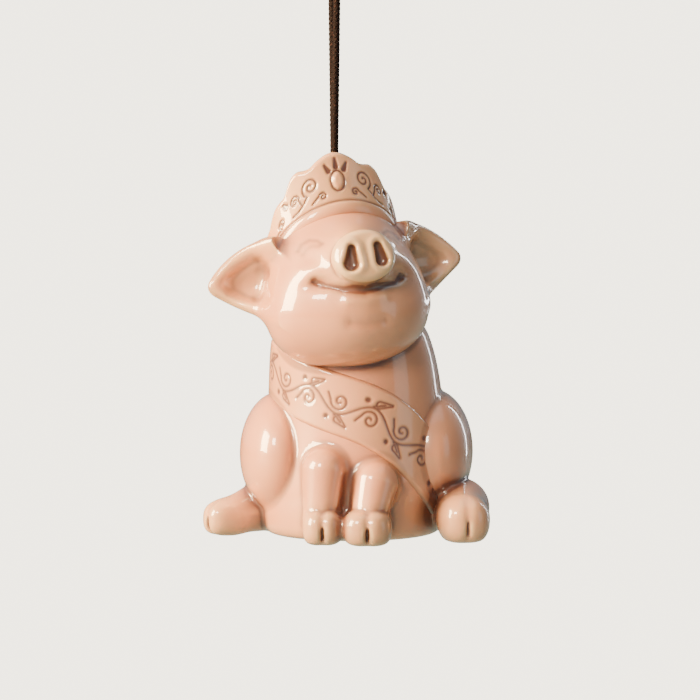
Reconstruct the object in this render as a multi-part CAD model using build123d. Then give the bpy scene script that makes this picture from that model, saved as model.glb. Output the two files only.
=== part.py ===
from build123d import *
import os
from math import atan2, cos, degrees, pi, radians, sin, sqrt, tan

os.makedirs("parts", exist_ok=True)

# A sitting pig of hollow-cast, glazed clay that hangs from a doubled cord.
# Millimetres, +Z up. The pig faces -Y, and its own left side is +X.
# It is drawn standing at height zero with the cord's line on the Z axis, and is then
# lowered until the inside top of the cord's loop is the origin.

# Clay
clay_wall = 3.0
overrun = 2.0  # how far a cutting shape runs past what it cuts

# Body, cast hollow
torso_height = 50.0
torso_width = 41.0
torso_depth = 42.0
torso_side = 4.6  # the body's middle, to the left of the cord
torso_back = 4.4  # and behind it
base_round = 3.0
neck_hole = 15.0  # the way from the body's hollow into the head's
casting_hole = 8.0  # in the base; the knot goes in here

# Rings of the body: height, side, back, width and depth, as shares of its own sizes
torso_ring_shares = (
    (0.00, -0.016, 0.010, 0.927, 0.905),
    (0.20, -0.004, 0.010, 1.000, 1.000),
    (0.44, 0.008, -0.002, 0.951, 0.952),
    (0.64, 0.011, -0.026, 0.898, 0.857),
    (0.84, -0.012, -0.074, 0.840, 0.738),
    (1.00, -0.030, -0.110, 0.690, 0.640),
)

# Head, cast hollow, raised, turned to its left and leaning to its right
head_width = 34.0
head_depth = 34.0
head_height = 36.0
head_side = 1.8
head_front = 5.2
head_above = 5.2  # the head's middle, over the body's top
head_turn = 14.0  # degrees, as the two below
head_lift = 14.0
head_lean = 6.2

# Lumps of the head: side, front, up, width, depth and height, as shares of its own sizes
head_lump_shares = (
    (0.00, 0.00, 0.03, 0.94, 0.97, 0.92),
    (-0.17, 0.08, -0.17, 0.67, 0.68, 0.62),
    (0.17, 0.08, -0.17, 0.67, 0.68, 0.62),
    (0.00, 0.22, -0.24, 0.60, 0.53, 0.50),
)

# Muzzle and snout
muzzle_root = 19.0  # diameters of the muzzle, at the face and at the snout
muzzle_end = 12.4
muzzle_start = 9.0
muzzle_reach = 19.0  # from the head's middle to the back of the snout
snout_rise = 1.4
snout_width = 13.0
snout_height = 12.2
snout_thick = 3.0
snout_round = 1.1
nostril_width = 2.2
nostril_height = 3.4
nostril_depth = 2.4
nostril_spacing = 6.4
nostril_tilt = 12.0  # degrees

# Face grooves, each an arc of a round bar let into the face
groove = 0.9
groove_arc = 140.0  # degrees
eye_bend = 3.2  # radius of the closed lid's arc
eye_spacing = 17.6
eye_rise = 6.4
smile_bend = 9.4
smile_drop = 0.2
eye_depth = 14.6  # how far in front of the head's middle
smile_depth = 14.0

# Ears, each a leaf cut from a hollow ball
ear_reach = 28.0  # from the head's middle to the tip
ear_root = 13.0
ear_height = 19.0
ear_thick = 2.8
ear_cup = 19.0  # radius of the ball
ear_rise = 2.6
ear_back = 3.0
ear_sweep = 20.0  # degrees back from straight out

# Leaf outline: reach and height, as shares of the ear's length and height
ear_top_shares = ((0.00, 0.47), (0.42, 0.43), (0.98, 0.10))
ear_tip_shares = ((0.98, 0.10), (1.00, 0.05), (0.98, 0.00))
ear_low_shares = ((0.98, 0.00), (0.55, -0.26), (0.00, -0.50))

# Tiara: a wall bent round the forehead, its edge in scallops, on a rolled band
tiara_radius = 15.2
tiara_thick = 2.2
tiara_start = 6.6  # height above the head's middle where the wall starts
tiara_height = 20.4  # from there to the top of the middle lobe
tiara_back = 4.7  # how far the bend's middle lies behind the head's middle
band_proud = 0.7
band_height = 3.4
band_rise = 13.6  # height of its upper edge above the head's middle, over the ears
band_slope = 12.0  # degrees, its rise from there towards the forehead

# Lobes: angle round the bend in degrees, and the lobe's top and radius as shares of tiara_height
tiara_lobe_angles = (-70.0, -49.0, -27.0, 0.0, 27.0, 49.0, 70.0)
tiara_top_shares = (0.43, 0.63, 0.87, 1.00, 0.87, 0.63, 0.43)
tiara_lobe_shares = (0.15, 0.17, 0.19, 0.23, 0.19, 0.17, 0.15)

# Sash, a flat raised band from the right shoulder down to the left hip and round the back
sash_width = 13.3
sash_thick = 0.9
sash_middle = 24.2  # height of its middle line where front and back balance
sash_slant = 12.9  # fall from the middle to the left hip, and rise to the right shoulder
sash_front_rise = 2.6
sash_sway = 2.1  # how far front and back lie above the two sides
sash_dip = 1.8  # how far it hangs slack between shoulder and hip
sash_steps = 10  # rings in each half of the sash's run round the body

# Haunches: width, depth and height
haunch_size = (18.0, 31.0, 27.0)
left_haunch_sink = 3.7  # how far each middle lies inside the body's side
right_haunch_sink = 4.1
left_haunch_back = 0.4  # how far behind the body's middle
right_haunch_back = -0.4
left_haunch_rise = 18.5
right_haunch_rise = 18.0

# Hind feet: heel and ball, their radii, and where they lie from the haunch's middle: to the
# side and ahead, as shares of the haunch's width and depth, and from the ground up, as a share
# of the heel's radius. Two toes lie ahead of the ball.
heel_radius = 6.4
ball_radius = 4.2
left_foot_shares = ((0.33, 0.20, 0.97), (0.38, 0.575, 0.75))
right_foot_shares = ((-0.09, -0.085, 1.08), (-0.565, 0.07, 0.67))
hind_toe_size = (4.9, 9.0, 7.0)
hind_toe_reach = 3.2  # from the ball to the toes' middle
hind_toe_drop = 0.9  # from the ball down to it

# Forelegs, top and ankle, from the body's middle: to the side, ahead and from the ground up,
# as shares of its width, depth and height
foreleg_top = 5.0  # radii
foreleg_ankle = 4.3
left_foreleg_shares = ((0.112, 0.433, 0.292), (0.063, 0.510, 0.132))
right_foreleg_shares = ((-0.151, 0.400, 0.352), (-0.171, 0.450, 0.132))

# Trotters, placed the same way, but upwards as a share of a toe's height
fore_toe_size = (5.6, 11.0, 8.4)
left_trotter_shares = (0.049, 0.543, 0.43)
right_trotter_shares = (-0.176, 0.481, 0.43)
toe_spacing_share = 0.74  # of a toe's width, between two toes' middles

# Tail, a curl of a round rope of clay on the back
tail_thick = 2.8
tail_curl = 5.4  # diameter of the curl's middle line
tail_pitch = 3.0
tail_turns = 1.3
tail_rise = 9.5

# Cord: one limp cord, doubled, knotted inside the head
cord_size = 1.6
cord_hole = 4.6
cord_knot_size = 6.0
cord_pair = 1.7  # between the two strands' middles at the hole
cord_loop = 8.4  # between them at the top of the loop
cord_lean = 0.6  # the loop's front strand stands this far to the left at the top
loop_rise = 50.0  # from the hole's mouth to the middle line at the loop's top
bend_share = 0.45  # a bend's radius over the run beside it and the half turn's tangent
swivel_drop = 6.0  # from the loop's top down to where the cord's twist starts
flex_rise = 1.8  # the cord bends over this far above the hole's mouth
flex_gap = 0.15


def ellipsoid(size):
    """An egg with three full sizes, its middle at the origin."""
    width, depth, height = size
    return scale(Sphere(1), by=(width / 2, depth / 2, height / 2))


def above_ground(shape):
    """The shape, cut flat where it stands."""
    reach = 2 * (torso_width + torso_depth)
    ground = Box(reach, reach, torso_height, align=(Align.CENTER, Align.CENTER, Align.MAX))
    return shape - ground


def place_by(start, shares, sizes):
    """A place to the side of, ahead of and above a point on the ground, by shares of sizes."""
    side, ahead, up = (share * size for share, size in zip(shares, sizes))
    return (start[0] + side, start[1] - ahead, up)


def limb(places, radii):
    """A round limb from one place to another, with round ends."""
    start, end = Vector(*places[0]), Vector(*places[1])
    run = end - start
    cone = Cone(radii[0], radii[1], run.length, align=(Align.CENTER, Align.CENTER, Align.MIN))
    body = Plane(origin=start, z_dir=run) * cone
    return body + Pos(*start) * Sphere(radii[0]) + Pos(*end) * Sphere(radii[1])


def torso_form(inset, floor):
    """The body's form, drawn in all round by inset, from the height floor up."""
    rings = []
    for up, side, back, width, depth in torso_ring_shares:
        ring = Ellipse(width * torso_width / 2 - inset, depth * torso_depth / 2 - inset)
        middle = (
            torso_side + side * torso_width,
            torso_back + back * torso_depth,
            max(floor, up * torso_height),
        )
        rings.append(Pos(*middle) * ring)
    return loft(rings)


head_rise = torso_height + head_above
head_place = (
    Pos(head_side, -head_front, head_rise)
    * Rot(0, 0, head_turn)
    * Rot(-head_lift, 0, 0)
    * Rot(0, -head_lean, 0)
)


def head_form(inset):
    """The head's form without the muzzle, drawn in all round by inset."""
    form = None
    for side, front, up, width, depth, height in head_lump_shares:
        size = (
            width * head_width - 2 * inset,
            depth * head_depth - 2 * inset,
            height * head_height - 2 * inset,
        )
        middle = Pos(side * head_width, -front * head_depth, up * head_height)
        lump = middle * ellipsoid(size)
        form = lump if form is None else form + lump
    return form


def muzzle_form(inset):
    """The muzzle's cone, pointing ahead, drawn in by inset."""
    cone = Cone(
        muzzle_root / 2 - inset,
        muzzle_end / 2 - inset,
        muzzle_reach - inset - muzzle_start,
        align=(Align.CENTER, Align.CENTER, Align.MIN),
    )
    return Pos(0, -muzzle_start, snout_rise) * Rot(90, 0, 0) * cone


def arc_groove(bend, middle, centre_angle):
    """A round bar bent to an arc that faces ahead, to be cut out of the face."""
    bar = Torus(bend, groove / 2, major_angle=groove_arc)
    return Pos(*middle) * Rot(90, 0, 0) * Rot(0, 0, centre_angle - groove_arc / 2) * bar


def make_head(outer):
    """The hollow head with its mouth and closed eyes, before the neck is opened."""
    hollow = head_form(clay_wall) + muzzle_form(clay_wall)
    head = outer - hollow
    for side in (-1, 1):
        head -= arc_groove(eye_bend, (side * eye_spacing / 2, -eye_depth, eye_rise), 90)
    head -= arc_groove(smile_bend, (0, -smile_depth, snout_rise - smile_drop), 270)
    return head


def make_snout():
    """The snout's disc with its two nostrils, facing ahead from the muzzle's end."""
    face = Ellipse(snout_width / 2, snout_height / 2)
    disc = extrude(face, snout_thick)
    rim = disc.faces().sort_by(Axis.Z)[-1].edges()
    disc = fillet(rim, snout_round)
    for side in (-1, 1):
        nostril = ellipsoid((nostril_width, nostril_height, 2 * nostril_depth))
        disc -= Pos(side * nostril_spacing / 2, 0, snout_thick) * Rot(0, 0, side * nostril_tilt) * nostril
    return Pos(0, -muzzle_reach, snout_rise) * Rot(90, 0, 0) * disc


def make_ear(side):
    """A dished leaf: the ear's outline cut from a hollow ball that opens forwards."""
    length = ear_reach - ear_root

    def placed(shares):
        return [(reach * length, height * ear_height) for reach, height in shares]

    top = ThreePointArc(*placed(ear_top_shares))
    tip = ThreePointArc(*placed(ear_tip_shares))
    low = ThreePointArc(*placed(ear_low_shares))
    root = Line(placed(ear_low_shares)[-1], placed(ear_top_shares)[0])
    leaf = make_face([top, tip, low, root])
    block = Rot(90, 0, 0) * extrude(leaf, ear_cup, both=True)
    ball = Sphere(ear_cup) - Sphere(ear_cup - ear_thick)
    middle = Pos(length / 2, -ear_cup, 0)
    front = Box(3 * ear_cup, ear_cup, 3 * ear_cup, align=(Align.CENTER, Align.MIN, Align.CENTER))
    ear = block & (middle * ball) & (middle * front)
    ear = Pos(ear_root, ear_back, ear_rise) * Rot(0, 0, ear_sweep) * ear
    return ear if side > 0 else mirror(ear, Plane.YZ)


def tiara_wall(radius, thick):
    """An upright ring wall round the forehead, from ear to ear."""
    upright = (Align.CENTER, Align.CENTER, Align.MIN)
    wall = Cylinder(radius, tiara_height, align=upright)
    wall -= Cylinder(radius - thick, tiara_height, align=upright)
    front = Box(3 * radius, 3 * radius, tiara_height, align=(Align.CENTER, Align.MAX, Align.MIN))
    return Pos(0, tiara_back, tiara_start) * (wall & front)


def make_tiara():
    """The scalloped crest: one rounded lobe after another round the wall."""
    lobes = None
    for angle, top, lobe in zip(tiara_lobe_angles, tiara_top_shares, tiara_lobe_shares):
        radius = lobe * tiara_height
        crown = tiara_start + top * tiara_height - radius
        face = Pos(0, crown) * Circle(radius) + Pos(0, crown / 2) * Rectangle(2 * radius, crown)
        bar = Rot(90, 0, 0) * extrude(face, tiara_radius + overrun)
        bar = Pos(0, tiara_back, 0) * Rot(0, 0, angle) * bar
        lobes = bar if lobes is None else lobes + bar
    return tiara_wall(tiara_radius, tiara_thick) & lobes


def make_tiara_band():
    """The rolled band round the foot of the crest."""
    ring = tiara_wall(tiara_radius + band_proud, band_proud)
    reach = 3 * tiara_radius
    slab = Box(reach, reach, band_height, align=(Align.CENTER, Align.CENTER, Align.MAX))
    return ring & (Pos(0, 0, band_rise) * Rot(-band_slope, 0, 0) * slab)


def make_snout_seat():
    """What the muzzle's end is cut to: the plane behind the snout."""
    reach = 2 * head_width
    block = Box(reach, reach, reach, align=(Align.CENTER, Align.MAX, Align.CENTER))
    return Pos(0, -muzzle_reach, 0) * block


def sash_line(turn):
    """Height of the sash's middle line at an angle round the body, from the front to its left."""
    swing = sash_front_rise * cos(turn) - sash_slant * sin(turn)
    return sash_middle + swing + sash_sway * cos(2 * turn) + sash_dip * sin(3 * turn)


def sash_slope(turn):
    """How fast that line climbs with the angle."""
    swing = -sash_front_rise * sin(turn) - sash_slant * cos(turn)
    return swing - 2 * sash_sway * sin(2 * turn) + 3 * sash_dip * cos(3 * turn)


def sash_half(start):
    """The space of the sash round one half of the body."""
    inner, outer = torso_width / 4, torso_width
    rings = []
    for step in range(sash_steps + 1):
        turn = start + pi * step / sash_steps
        tall = sash_width * sqrt(1 + (2 * sash_slope(turn) / torso_width) ** 2)
        radial = (sin(turn), -cos(turn), 0)
        along = (cos(turn), sin(turn), 0)
        plane = Plane(origin=(torso_side, torso_back, sash_line(turn)), x_dir=radial, z_dir=along)
        rings.append(plane * Pos((inner + outer) / 2, 0) * Rectangle(outer - inner, tall))
    return loft(rings)


def make_sash(torso_outer):
    """The raised band: the skin round the body that lies within the sash's run."""
    skin = torso_form(-sash_thick, 0) - torso_outer
    return (skin & sash_half(-pi)) + (skin & sash_half(0))


def toes(toe_size):
    """A pair of toes side by side, pointing ahead."""
    width = toe_size[0]
    pair = None
    for side in (-1, 1):
        toe = Pos(side * width * toe_spacing_share / 2, 0, 0) * ellipsoid(toe_size)
        pair = toe if pair is None else pair + toe
    return pair


def make_hind_foot(hip, foot_shares):
    """A foot that tapers from the heel to the ball, with two toes ahead, flat below."""
    sizes = (haunch_size[0], haunch_size[1], heel_radius)
    heel_place, ball_place = (place_by(hip, shares, sizes) for shares in foot_shares)
    foot = limb((heel_place, ball_place), (heel_radius, ball_radius))
    run = Vector(*ball_place) - Vector(*heel_place)
    heading = degrees(atan2(run.X, -run.Y))
    pair = Pos(0, -hind_toe_reach, -hind_toe_drop) * toes(hind_toe_size)
    return above_ground(foot + Pos(*ball_place) * Rot(0, 0, heading) * pair)


def make_foreleg(leg_shares):
    """A foreleg that stands in front of the body."""
    sizes = (torso_width, torso_depth, torso_height)
    places = [place_by((torso_side, torso_back), shares, sizes) for shares in leg_shares]
    return limb(places, (foreleg_top, foreleg_ankle))


def make_fore_trotter(shares):
    """A trotter in front of the body, flat below."""
    sizes = (torso_width, torso_depth, fore_toe_size[2])
    place = place_by((torso_side, torso_back), shares, sizes)
    return above_ground(Pos(*place) * toes(fore_toe_size))


def make_tail():
    """A curl that stands out of the back, thinning to nothing where it meets it."""
    height = tail_pitch * tail_turns
    line = Helix(tail_pitch, height, tail_curl / 2)
    bar = sweep(Plane(origin=line @ 0, z_dir=line % 0) * Circle(tail_thick / 2), line)
    curl = bar + Pos(*(line @ 1)) * Sphere(tail_thick / 2)
    back = torso_back + torso_depth / 2 - tail_thick / 2
    return Pos(torso_side, back, tail_rise) * Rot(-90, 0, 0) * curl


def cord_route(top, low):
    """The loop's points: up the front strand, over, and down the back strand."""
    return (
        (0, -cord_pair / 2, low),
        (cord_lean, -cord_loop / 2, top),
        (-cord_lean, cord_loop / 2, top),
        (0, cord_pair / 2, low),
    )


def cord_tube(points):
    """A tube along straight runs and the widest arcs that they leave room for."""
    places = [Vector(*point) for point in points]
    radii = []
    for before, corner, after in zip(places, places[1:], places[2:]):
        run_in, run_out = corner - before, after - corner
        turn = radians(run_in.get_angle(run_out))
        radii.append(bend_share * min(run_in.length, run_out.length) / tan(turn / 2))
    line = FilletPolyline(*places, radius=radii)
    print("cord bends", [round(radius, 2) for radius in radii], "length", round(line.length, 1))
    section = Plane(origin=line @ 0, z_dir=line % 0) * Circle(cord_size / 2)
    tube = sweep(section, line)
    print("cord volume over section times length", tube.volume / (section.area * line.length))
    return tube


def cord_stub(back, low, high):
    """An upright stretch of cord."""
    return Pos(0, back, low) * Cylinder(
        cord_size / 2, high - low, align=(Align.CENTER, Align.CENTER, Align.MIN)
    )


# Clay pieces, each cut by the larger ones that it is luted to
torso_outer = torso_form(0, 0)
torso_outer = fillet(torso_outer.faces().sort_by(Axis.Z)[0].edges(), base_round)
head_outer = head_place * (head_form(0) + muzzle_form(0) - make_snout_seat())

neck_middle = Pos(torso_side, 0, torso_height - clay_wall)
neck = neck_middle * Cylinder(neck_hole / 2, torso_height / 2)
drain = Pos(torso_side, torso_back, 0) * Cylinder(casting_hole / 2, 2 * clay_wall + overrun)
torso = torso_outer - torso_form(clay_wall, clay_wall) - head_outer - drain

head = head_place * make_head(head_form(0) + muzzle_form(0) - make_snout_seat())
crown_line = Pos(0, 0, head_rise + head_height) * Cylinder(cord_hole / 2, 2 * head_height)
head = head - neck - crown_line
snout = head_place * make_snout()

tiara = head_place * make_tiara() - head_outer
tiara_band = head_place * make_tiara_band() - head_outer

left_ear = head_place * make_ear(1) - head_outer
right_ear = head_place * make_ear(-1) - head_outer
left_ear, right_ear = left_ear - tiara - tiara_band, right_ear - tiara - tiara_band

sash = make_sash(torso_outer) - head_outer
trunk = torso_outer + head_outer + sash

left_hip = (torso_side + torso_width / 2 - left_haunch_sink, torso_back + left_haunch_back)
right_hip = (torso_side - torso_width / 2 + right_haunch_sink, torso_back + right_haunch_back)
left_haunch = Pos(*left_hip, left_haunch_rise) * ellipsoid(haunch_size) - trunk
right_haunch = Pos(*right_hip, right_haunch_rise) * ellipsoid(haunch_size) - trunk
left_hind_foot = make_hind_foot(left_hip, left_foot_shares) - trunk - left_haunch
right_hind_foot = make_hind_foot(right_hip, right_foot_shares) - trunk - right_haunch

left_foreleg = make_foreleg(left_foreleg_shares) - trunk
right_foreleg = make_foreleg(right_foreleg_shares) - trunk
left_fore_trotter = make_fore_trotter(left_trotter_shares) - trunk - left_foreleg
right_fore_trotter = make_fore_trotter(right_trotter_shares) - trunk - right_foreleg
right_fore_trotter -= left_fore_trotter

tail = make_tail() - torso_outer

# Cord: the loop's top, its two strands, and its ends knotted under the crown's hole
mouth = (crown_line & head_outer).bounding_box().max.Z
ceiling = (crown_line & head_place * head_form(clay_wall)).bounding_box().max.Z
knot_radius = cord_knot_size / 2
knot_height = ceiling - sqrt(knot_radius**2 - (cord_hole / 2) ** 2)
cord_knot = Pos(0, 0, knot_height) * Sphere(knot_radius) - head

loop_top = mouth + loop_rise
flex_height = mouth + flex_rise
flex_radius = (cord_pair + cord_size) / 2
swivel_height = loop_top - swivel_drop
loop = cord_tube(cord_route(loop_top, flex_height))
upper = Pos(0, 0, swivel_height) * Box(
    2 * cord_loop, 2 * cord_loop, loop_rise, align=(Align.CENTER, Align.CENTER, Align.MIN)
)
cord_bight = loop & upper
cord_strands = loop - upper - Pos(0, 0, flex_height) * Sphere(flex_radius + flex_gap)

cord_tail = Pos(0, 0, flex_height) * Sphere(flex_radius)
cord_tail += cord_stub(0, knot_height, flex_height)
for side in (-1, 1):
    cord_tail += cord_stub(side * cord_pair / 2, knot_height, flex_height - flex_radius)
cord_tail -= cord_knot

pieces = {
    "torso": torso,
    "head": head,
    "snout": snout,
    "tiara": tiara,
    "tiara_band": tiara_band,
    "left_ear": left_ear,
    "right_ear": right_ear,
    "sash": sash,
    "left_haunch": left_haunch,
    "right_haunch": right_haunch,
    "left_hind_foot": left_hind_foot,
    "right_hind_foot": right_hind_foot,
    "left_foreleg": left_foreleg,
    "right_foreleg": right_foreleg,
    "left_fore_trotter": left_fore_trotter,
    "right_fore_trotter": right_fore_trotter,
    "tail": tail,
    "cord_bight": cord_bight,
    "cord_strands": cord_strands,
    "cord_tail": cord_tail,
    "cord_knot": cord_knot,
}

# The inside top of the loop is the origin
hang = Pos(0, 0, cord_size / 2 - loop_top)
for name, piece in pieces.items():
    export_step(hang * piece, f"parts/{name}.step")

mass_middle = Vector(0, 0, 0)
clay_volume = 0
for name, piece in pieces.items():
    if not name.startswith("cord"):
        mass_middle += piece.center(CenterOf.MASS) * piece.volume
        clay_volume += piece.volume
mass_middle = mass_middle / clay_volume
print("clay volume", round(clay_volume), "middle of mass from the cord", mass_middle)
print("mouth", mouth, "loop top above the base", loop_top, "base", cord_size / 2 - loop_top)
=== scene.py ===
from functools import partialmethod
from math import cos, pi, radians, sin

import bmesh
import bpy
import numpy as np
from mathutils import Matrix, Vector


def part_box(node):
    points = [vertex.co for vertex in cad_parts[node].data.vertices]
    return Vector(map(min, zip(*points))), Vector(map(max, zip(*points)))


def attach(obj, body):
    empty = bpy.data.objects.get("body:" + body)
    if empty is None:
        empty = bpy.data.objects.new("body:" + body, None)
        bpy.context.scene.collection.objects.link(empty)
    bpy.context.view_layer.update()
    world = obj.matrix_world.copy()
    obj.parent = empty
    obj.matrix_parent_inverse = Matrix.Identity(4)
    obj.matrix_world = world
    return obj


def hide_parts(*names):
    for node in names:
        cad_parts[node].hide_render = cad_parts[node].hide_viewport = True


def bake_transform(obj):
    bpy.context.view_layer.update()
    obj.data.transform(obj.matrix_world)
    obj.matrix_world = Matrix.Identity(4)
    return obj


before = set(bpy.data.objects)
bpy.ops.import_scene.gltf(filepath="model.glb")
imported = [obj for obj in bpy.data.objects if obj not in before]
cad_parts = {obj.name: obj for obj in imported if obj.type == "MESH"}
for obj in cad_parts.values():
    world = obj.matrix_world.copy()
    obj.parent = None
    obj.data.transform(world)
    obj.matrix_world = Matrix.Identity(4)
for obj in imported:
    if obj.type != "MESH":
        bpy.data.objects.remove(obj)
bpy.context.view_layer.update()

bl_info = {
    "name": "Hanging pig ornament",
    "version": (1, 0, 0),
    "blender": (4, 5, 0),
    "location": "3D View > Sidebar > Pig ornament",
    "description": "Models a glazed clay pig in a tiara and a sash that hangs by a braided cord",
    "category": "Object",
}

# The clay is modelled in millimetres above the ornament's base, on the frame's own x and y.
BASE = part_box("torso")[0][2]
MM = 0.001


def in_frame(points):
    """Points in millimetres above the base, as metres in the shared frame."""
    return np.asarray(points, float) * MM + (0, 0, BASE)


# ---- clay, as distance fields


def egg(p, middle, half):
    """Distance to an egg with three half sizes."""
    q = [(c - m) / h for c, m, h in zip(p, middle, half)]
    near = np.sqrt(q[0] ** 2 + q[1] ** 2 + q[2] ** 2) + 1e-4
    slope = np.sqrt(sum((c / h) ** 2 for c, h in zip(q, half))) + 1e-5
    return near * (near - 1) / slope


def rod(p, start, end, start_radius, end_radius):
    """Distance to a round limb that tapers from one place to another, in two or three axes."""
    run = np.subtract(end, start)
    d = [c - s for c, s in zip(p, start)]
    along = np.clip(sum(a * b for a, b in zip(d, run)) / (run @ run), 0, 1)
    away = np.sqrt(sum((a - along * b) ** 2 for a, b in zip(d, run)))
    return away - (start_radius + along * (end_radius - start_radius))


def stroke(p, points):
    """Distance to a drawn line, in two or three axes."""
    away = np.full(np.shape(p[0]), 1e3)
    for start, end in zip(points, points[1:]):
        away = np.minimum(away, rod(p, start, end, 0, 0))
    return away


def joined(a, b, soft):
    """Two lumps of clay smoothed into each other."""
    return np.minimum(a, b) - np.maximum(soft - np.abs(a - b), 0) ** 2 / (4 * soft)


def overlap(a, b, soft):
    """What two lumps share, with its edge rounded."""
    return np.maximum(a, b) + np.maximum(soft - np.abs(a - b), 0) ** 2 / (4 * soft)


def cut(a, b, soft):
    """A lump with another pressed out of it."""
    return overlap(a, -b, soft)


def dent(away, width):
    """A soft mark's depth, from 1 on its line to 0 beside it."""
    return np.exp(-((away / width) ** 2))


def turn(axis, degrees):
    """A rotation matrix."""
    return np.array(Matrix.Rotation(radians(degrees), 3, axis))


def placed(p, middle, rotation):
    """Points in the axes of a turned lump."""
    d = [c - m for c, m in zip(p, middle)]
    return [sum(rotation[j][i] * d[j] for j in range(3)) for i in range(3)]


def disc_through(a, b, c):
    """Middle and radius of the disc whose edge runs through three places in a plane."""
    matrix = 2 * np.array([np.subtract(b, a), np.subtract(c, a)])
    middle = np.linalg.solve(matrix, [np.dot(b, b) - np.dot(a, a), np.dot(c, c) - np.dot(a, a)])
    return middle, np.hypot(*(middle - a))


# ---- head

# The head's middle, and its turn to the left, with the snout up and the crown leaning
HEAD_AT = (1.8, -5.2, 55.2)
HEAD_TURN = turn("Z", 14) @ turn("X", -14) @ turn("Y", -6.2)

# Lumps in the head's axes, each with its middle and half sizes, and how softly they are joined
SKULL = ((0, 0, 1.1), (16.0, 16.5, 16.6))
RIGHT_JOWL = ((-5.8, -2.7, -6.1), (12.6, 11.6, 11.2))
LEFT_JOWL = ((5.8, -2.7, -6.1), (11.4, 11.6, 11.2))
CHIN = ((0, -7.5, -8.6), (10.2, 9, 9))
LUMP_JOIN, MUZZLE_EDGE, MUZZLE_JOIN, EAR_JOIN, SNOUT_JOIN = 5, 0.6, 3.0, 2.8, 0.7

# The muzzle's two ends with their radii, and the disc of the snout at its front
MUZZLE, MUZZLE_FRONT = ((0, -9, 2.0), (0, -19, 2.4), 9.4, 5.7), -19.6
SNOUT, SNOUT_HALF, SNOUT_MEAN = (0.2, -20.4, 2.4), (6.9, 5.7), 6.2
SNOUT_THICK, SNOUT_ROUND, SNOUT_BOW = 4.0, 1.5, 0.018
NOSTRILS = (
    ((-3.35, -1.5), (-2.85, 1.6), 1.6, 0.75),
    ((3.35, -1.5), (2.85, 1.6), 1.3, 0.75),
)
NOSTRIL_ROUND, NOSTRIL_EDGE, LIP_HEIGHT, LIP_WIDTH = 1.8, 0.9, 0.3, 0.8

# An ear is a piece of a ball's shell between two arcs, each given by three places on it
EAR_AT, EAR_SWEEP = (13.0, 3.0, 2.6), turn("Z", 20)
EAR_LENGTH, EAR_CUP, EAR_THICK = 15.0, 19.0, 2.6
EAR_TOP = ((0, 8.93), (6.3, 8.2), (15.4, 1.2))
EAR_LOW = ((15.4, 0.4), (8.2, -4.9), (0, -9.5))
EAR_TIP_ROUND, EAR_TRIM, EAR_EDGE = 2.4, 0.2, 1.6
EAR_ROLL, EAR_ROLL_INSET, EAR_ROLL_LIFT, EAR_ROLL_JOIN = 1.6, 1.4, 0.9, 1.0
EAR_INNER_END, EAR_FRONT_END = -0.8, -10.0
EAR_FOLD, EAR_FOLD_JOIN = ((-4.5, -2.6, 3.6), (-0.4, -5.0, 6.6), 4.2, 2.0), 3.0
EAR_HOLLOW, EAR_HOLLOW_EDGE = ((3.0, -4.6, 0.2), (8.2, 3.2, 3.9)), 1.4

# Lines on the face, across and up from the head's middle, as the face is seen from its front
MOUTH = (
    (-9.6, -0.6), (-7.7, -2.1), (-4.5, -3.5), (0, -4.4), (5.5, -3.5), (7.6, -3.2), (9.4, -2.0),
)
LID = ((-11.2, 6.9), (-10.2, 8.2), (-8.7, 8.7), (-7.4, 8.1), (-6.8, 7.2))
LASH = ((-10.6, 5.8), (-9.6, 6.9), (-8.5, 7.2), (-7.5, 6.8))
LIP = ((-4.0, -6.3), (0, -6.8), (4.0, -6.2))
CHIN_LINE = ((-3.8, -10.7), (-0.4, -11.4), (3.4, -11.2))

# Each line's depth, which is negative where it stands out, and its width
CREASES = ((MOUTH, 0.65, 0.85), (CHIN_LINE, 0.3, 1.4), (LIP, -0.4, 1.3))
EYE_CREASES = ((LID, 0.09, 0.8), (LASH, 0.05, 0.7))

# The dimples at the mouth's ends and the swell of the cheeks above them, the same on both
# sides: place across and up, half sizes, width and depth
CHEEKS = ((-9.2, -1.5, 1.8, 1.0, 1.4, 0.6), (-10.2, 1.4, 1.4, 1.1, 2.2, -0.6))

# The marks fade out behind the face, and are only worked out for places near the skin
FACE_FRONT, FACE_FADE, SKIN_DEPTH = -7.5, 1.2, 2.5


def ear_clay(q, side):
    """One dished ear with a rolled rim, in the head's axes."""
    u, w, v = ear_axes = placed((q[0] * side, q[1], q[2]), EAR_AT, EAR_SWEEP)
    edges = []
    for places in (EAR_TOP, EAR_LOW):
        middle, radius = disc_through(*places)
        edges.append(np.hypot(u - middle[0], v - middle[1]) - radius)
    outline = overlap(*edges, EAR_TIP_ROUND) + EAR_TRIM
    ball = np.sqrt((u - EAR_LENGTH / 2) ** 2 + (w + EAR_CUP) ** 2 + v**2)
    shell = ball - EAR_CUP + EAR_THICK / 2
    leaf = overlap(np.abs(shell) - EAR_THICK / 2, outline, EAR_EDGE)
    roll = np.hypot(outline + EAR_ROLL_INSET, shell + EAR_ROLL_LIFT) - EAR_ROLL
    ear = joined(leaf, roll, EAR_ROLL_JOIN)
    ear = np.maximum(ear, np.maximum(EAR_INNER_END - u, EAR_FRONT_END - w))
    ear = joined(ear, rod(ear_axes, *EAR_FOLD), EAR_FOLD_JOIN)
    return cut(ear, egg(ear_axes, *EAR_HOLLOW), EAR_HOLLOW_EDGE)


def face_marks(q):
    """How deep the lines and folds of the face are pressed in, in the head's axes."""
    x, y, z = q
    side = -np.abs(x)
    depth = 0
    for across, up, wide, high, width, deep in CHEEKS:
        depth = depth + deep * dent(np.hypot((side - across) / wide, (z - up) / high), width)
    for across, lines in ((x, CREASES), (side, EYE_CREASES)):
        for line, deep, width in lines:
            depth += deep * dent(stroke((across, z), line), width)
    return depth / (1 + np.exp((y - FACE_FRONT) / FACE_FADE))


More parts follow.
